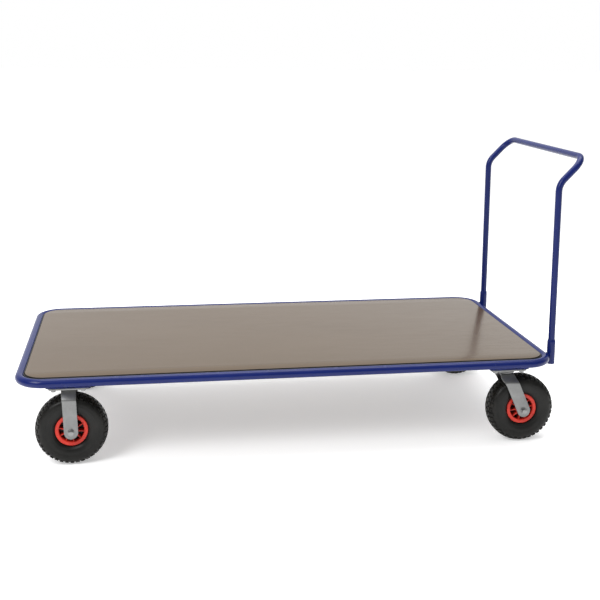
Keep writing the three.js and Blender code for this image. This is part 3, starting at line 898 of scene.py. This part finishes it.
def rim_mesh(material):
    """A moulded rim turned about Y: rolled flanges, a thin web, a hub and ribs on both faces."""
    corners = [(RIM_BORE, 0), (RIM_BORE, RIM_HUB_HALF), (RIM_HUB_R, RIM_HUB_HALF)]
    corners += [(RIM_HUB_R + MM, RIM_WEB_HALF), (RIM_WALL_R - MM, RIM_WEB_HALF), (RIM_WALL_R, RIM_FACE)]
    corners += [(RIM_FLANGE_R, RIM_FACE), (RIM_FLANGE_R, RIM_SEAT_HALF), (RIM_SEAT_R, RIM_SEAT_HALF)]
    corners += [(RIM_SEAT_R, 0)]
    radii = [r * MM for r in (0.6, 1.2, 2.5, 2.5, 3.2, 2.6, 0.8, 2.5)]
    half = [tuple(p) for p in filleted(corners, radii, 5)]
    profile = half + [(r, -y) for r, y in half[-2:0:-1]]
    upright = Matrix.Rotation(math.pi / 2, 4, "X")
    solid = Solid().add(*turned(profile, 120), upright)
    inner, outer = RIM_HUB_R - MM, RIM_WALL_R + 1.5 * MM
    corners = [(inner, RIB_ROOT), (outer, RIB_ROOT), (outer, RIB_AT_WALL)]
    corners += [(0.5 * (inner + outer), RIB_MIDWAY), (inner, RIB_AT_HUB)]
    rib = filleted(corners, [0, 0, 0, 12 * MM, 0], 5, closed=True)
    for i in range(RIM_RIBS):
        turn = Matrix.Rotation(2 * math.pi * i / RIM_RIBS, 4, "Y")
        for side in (-1, 1):
            faces = [[(r, side * y, z) for r, y in rib] for z in (-RIB_HALF, RIB_HALF)]
            solid.add(*skin(faces), turn)
    mesh = clean_mesh("rim", solid)
    # Painted shade: each point's depth between the ribs, by which the red plastic is darkened.
    recess_shade = []
    for v in mesh.vertices:
        r = math.hypot(v.co.x, v.co.z)
        deep = min(1.0, max(0.0, (RIM_FACE - 3 * MM - abs(v.co.y)) / (16 * MM)))
        recess_shade.append(deep if RIM_HUB_R - 2 * MM < r < RIM_WALL_R + 1.2 * MM else 0.0)
    mesh.attributes.new("recess_shade", "FLOAT", "POINT").data.foreach_set("value", recess_shade)
    return painted(mesh, material)


def valve_mesh(material):
    """A rubber valve stem with its cap, standing along Z."""
    corners = [(0, 0), (4.4 * MM, 0), (4.1 * MM, 16 * MM), (3.2 * MM, 17 * MM), (3.2 * MM, 18.5 * MM)]
    corners += [(3.9 * MM, 19 * MM), (3.9 * MM, 25 * MM), (0, 25 * MM)]
    profile = filleted(corners, [0, 0.6 * MM, 0, 0, 0, 1.4 * MM], 4)
    solid = Solid().add(*turned([tuple(p) for p in profile], 24))
    return painted(clean_mesh("valve", solid), material)


def axle_bolt_mesh(face, metal):
    """An axle bolt along Z: its washer lies on z = 0, its shank points down through the fork."""
    washer, head = 2.5 * MM, 7.5 * MM
    shank_r, washer_r, across = 5.9 * MM, 12 * MM, 19 * MM
    length = 2 * face + 12.5 * MM
    solid = Solid().add(*collar(shank_r, washer_r, 0, washer, 0.6 * MM))
    solid.add(*hexagon(across, head), Matrix.Translation((0, 0, washer)))
    shank = [(0, 0.5 * MM), (shank_r, 0.5 * MM), (shank_r, -length + MM)]
    shank += [(shank_r - MM, -length), (0, -length)]
    solid.add(*turned(shank, 32))
    return painted(clean_mesh("axle_bolt", solid), metal)


def axle_nut_mesh(metal):
    """A locking nut standing on z = 0, with its round collar on top."""
    solid = Solid().add(*hexagon(19 * MM, 7 * MM, 6.1 * MM, both_ends=True))
    solid.add(*collar(6.3 * MM, 8.6 * MM, 6.5 * MM, 9.8 * MM, 1.1 * MM))
    return painted(clean_mesh("axle_nut", solid), metal)


def wheel_meshes(look):
    """The meshes that all four wheels and axles share, and how far a fork's face is from its middle."""
    upright = Matrix.Rotation(math.pi / 2, 4, "X")

    def about_y(name, ring, material):
        return painted(clean_mesh(name, Solid().add(*ring, upright)), material)

    bearing_low, bearing_high = bounds_of("roller_bearing_fixed_left")
    half = (bearing_high[1] - bearing_low[1]) / 2
    sleeve_low, sleeve_high = bounds_of("axle_sleeve_fixed_left")
    sleeve_half = (sleeve_high[1] - sleeve_low[1]) / 2
    face = middle_of("fork_fixed_left")[1] - bounds_of("fork_fixed_left")[0][1] + CONTACT_GAP
    bearing = collar(10.8 * MM, 14 * MM, -half, half, 0.7 * MM)
    sleeve = collar(6.6 * MM, 10 * MM, -sleeve_half, sleeve_half, 0.7 * MM)
    return {
        "tyre": tyre_mesh(look["rubber"]),
        "rim": rim_mesh(look["red"]),
        "valve": valve_mesh(look["rubber"]),
        "bearing": about_y("bearing", bearing, look["steel"]),
        "sleeve": about_y("sleeve", sleeve, look["steel"]),
        "bolt": axle_bolt_mesh(face, look["fastener"]),
        "nut": axle_nut_mesh(look["fastener"]),
        "face": face,
    }


def moved(mesh, motion):
    """A copy of a mesh with a motion applied to its points."""
    copy = mesh.copy()
    copy.transform(motion)
    return copy


def wheel(name, meshes, fork_body):
    """A tyre on its rim with bearing and valve, and the axle that stays in the fork."""
    side = -1 if name.endswith("left") else 1
    centre = Matrix.Translation(middle_of("rim_" + name))
    turn = Matrix.Rotation(math.radians(WHEEL_TURNS[name]), 4, "Y")
    body = "wheel_" + name
    tyre, rim = moved(meshes["tyre"], turn), moved(meshes["rim"], turn)
    show(f"tyre_{name}_tread", tyre, body, ["tyre_" + name], centre)
    show(f"rim_{name}_ribbed", rim, body, ["rim_" + name], centre)
    show(f"roller_bearing_{name}_ring", meshes["bearing"], body,
         ["roller_bearing_" + name], centre)
    inward = Matrix.Rotation(math.pi if side > 0 else 0, 4, "Z") @ Matrix.Rotation(-math.pi / 2, 4, "X")
    pocket = Matrix.Rotation(math.pi / RIM_RIBS, 4, "Y")
    valve_place = turn @ pocket @ Matrix.Translation((VALVE_RADIUS, -side * VALVE_INSET, 0)) @ inward
    show("valve_" + name, moved(meshes["valve"], valve_place), body, (), centre)
    show(f"axle_sleeve_{name}_tube", meshes["sleeve"], fork_body,
         ["axle_sleeve_" + name], centre)
    outward = Matrix.Rotation(-side * math.pi / 2, 4, "X")
    bolt_place = centre @ Matrix.Translation((0, side * meshes["face"], 0)) @ outward
    show(f"axle_bolt_{name}_hex", meshes["bolt"], fork_body,
         ["axle_bolt_" + name], bolt_place)
    nut_place = centre @ Matrix.Translation((0, -side * meshes["face"], 0)) @ outward.inverted()
    show(f"axle_nut_{name}_hex", meshes["nut"], fork_body,
         ["axle_nut_" + name], nut_place)


# ---------------------------------------------------------------- studio

CAMERA_PLACE = (-0.62000, -3.95887, 1.50015)
CAMERA_YAW = 0.16082  # radians, from +Y towards +X
CAMERA_PITCH = 0.15135  # radians, down
CAMERA_ROLL = 0.01098
CAMERA_SENSOR = 36  # mm
CAMERA_LENS = 60.36  # mm
CAMERA_RANGE = 200
CAMERA_SHIFT = -1 / 6  # share of the picture's height


def camera():
    forward = np.array([math.sin(CAMERA_YAW) * math.cos(CAMERA_PITCH),
                        math.cos(CAMERA_YAW) * math.cos(CAMERA_PITCH), -math.sin(CAMERA_PITCH)])
    level = np.array([math.cos(CAMERA_YAW), -math.sin(CAMERA_YAW), 0])
    above = np.cross(level, forward)
    right = math.cos(CAMERA_ROLL) * level + math.sin(CAMERA_ROLL) * above
    up = math.cos(CAMERA_ROLL) * above - math.sin(CAMERA_ROLL) * level
    data = bpy.data.cameras.new("camera")
    data.sensor_width = CAMERA_SENSOR
    data.lens = CAMERA_LENS
    data.shift_y = CAMERA_SHIFT
    data.clip_end = CAMERA_RANGE
    shot = bpy.data.objects.new("camera", data)
    bpy.context.scene.collection.objects.link(shot)
    axes = Matrix([right, up, -forward]).transposed().to_4x4()
    shot.matrix_world = Matrix.Translation(CAMERA_PLACE) @ axes
    bpy.context.scene.camera = shot


ROOM_LIGHT = 0.16
BACKDROP_LIGHT = 0.95
CEILING_LIGHT = 0.9
FLOOR_REACH = 60
FLOOR_GLOW = 0.42


def softbox(name, place, aim, size, power):
    data = bpy.data.lights.new(name, "AREA")
    data.shape = "RECTANGLE"
    data.size, data.size_y = size
    data.energy = power
    light = bpy.data.objects.new(name, data)
    bpy.context.scene.collection.objects.link(light)
    facing = (Vector(aim) - Vector(place)).to_track_quat("-Z", "Y")
    light.matrix_world = Matrix.Translation(place) @ facing.to_matrix().to_4x4()


def surroundings():
    """Light from a backdrop behind and above the trolley and from a dimmer room behind the camera.
    The backdrop itself is seen as plain white."""
    world = bpy.data.worlds.new("studio")
    bpy.context.scene.world = world
    world.use_nodes = True
    tree = world.node_tree
    new = tree.nodes.new

    def scaled(value, low, high, to_low, to_high):
        made = new("ShaderNodeMapRange")
        for socket, limit in zip(("From Min", "From Max", "To Min", "To Max"), (low, high, to_low, to_high)):
            made.inputs[socket].default_value = limit
        tree.links.new(value, made.inputs["Value"])
        return made.outputs["Result"]

    def combined(operation, a, b):
        made = new("ShaderNodeMath")
        made.operation = operation
        tree.links.new(a, made.inputs[0])
        tree.links.new(b, made.inputs[1])
        return made.outputs[0]

    direction = new("ShaderNodeSeparateXYZ")
    tree.links.new(new("ShaderNodeTexCoord").outputs["Generated"], direction.inputs[0])
    backdrop = scaled(direction.outputs["Y"], -0.2, 0.6, ROOM_LIGHT, BACKDROP_LIGHT)
    ceiling = scaled(direction.outputs["Z"], 0.25, 0.9, 0.0, CEILING_LIGHT)
    light = combined("MAXIMUM", backdrop, ceiling)
    shown = new("ShaderNodeMix")
    tree.links.new(new("ShaderNodeLightPath").outputs["Is Camera Ray"], shown.inputs["Factor"])
    tree.links.new(light, shown.inputs[2])
    shown.inputs[3].default_value = 1.0
    tree.links.new(shown.outputs[0], tree.nodes["Background"].inputs["Strength"])
    tree.nodes["Background"].inputs["Color"].default_value = (1.0, 1.0, 1.0, 1)


def floor():
    """A pale floor with a faint glow of its own, so that it meets the backdrop without a line."""
    outline = [(FLOOR_REACH * x, FLOOR_REACH * y, 0) for x, y in ((-1, -1), (1, -1), (1, 1), (-1, 1))]
    mesh = bpy.data.meshes.new("floor")
    mesh.from_pydata(outline, [], [(0, 1, 2, 3)])
    look = Look("pale_floor", Roughness=0.9, Specular_IOR_Level=0.1, Emission_Strength=FLOOR_GLOW)
    look.surface.inputs["Emission Color"].default_value = (1, 1, 1, 1)
    look.drive(Base_Color=look.mixed(look.noise(0.6), (0.90, 0.90, 0.90), (0.93, 0.93, 0.93)))
    ground = bpy.data.objects.new("floor", painted(mesh, look.material))
    bpy.context.scene.collection.objects.link(ground)


# ---------------------------------------------------------------- the trolley

def build():
    look = {
        "paint": blue_paint(),
        "film": board_film(),
        "sealer": board_edge(),
        "zinc": zinc("zinc_plate", 0.235, 0.32, 0.44, 18.0),
        "fastener": zinc("zinc_fastener", 0.30, 0.26, 0.40, 60.0),
        "steel": turned_steel(),
        "rubber": rubber(),
        "red": red_plastic(),
    }
    middle_members = [f"cross_member_middle_{i}" for i in (1, 2, 3)]
    members = ["cross_member_front", *middle_members, "cross_member_rear"]
    frame_ring(look["paint"])
    for node in members:
        cross_member(node, look["paint"])
    frame_welds(members, look["paint"])
    deck_board(look["film"], look["sealer"])
    # Painted shade: a black strip in the groove round the board.
    deck_gap_shade(look["rubber"])
    deck_screws(members, look["fastener"])
    push_handle(look["paint"])
    meshes = wheel_meshes(look)
    for side in SIDES:
        handle_socket(side, look["paint"])
        kingpin(side, look["steel"])
        for end in ENDS:
            name = f"{end}_{side}"
            fork_body = "chassis" if end == "fixed" else "swivel_" + side
            bolted_plate("mounting_plate_" + name, MOUNT_CORNER, look["paint"])
            bolted_plate("castor_plate_" + name, CASTOR_CORNER, look["zinc"])
            plate_fasteners(name, look["fastener"])
            fork(name, fork_body, look["zinc"])
            wheel(name, meshes, fork_body)


camera()
surroundings()
softbox("key", place=(-3.2, -3.0, 3.6), aim=(0, 0, 0.4), size=(2.2, 2.2), power=150)
softbox("overhead", place=(0.3, 0.6, 4.2), aim=(0, 0, 0.3), size=(4.5, 3.0), power=170)
floor()
build()
bpy.context.scene.view_settings.view_transform = "Standard"
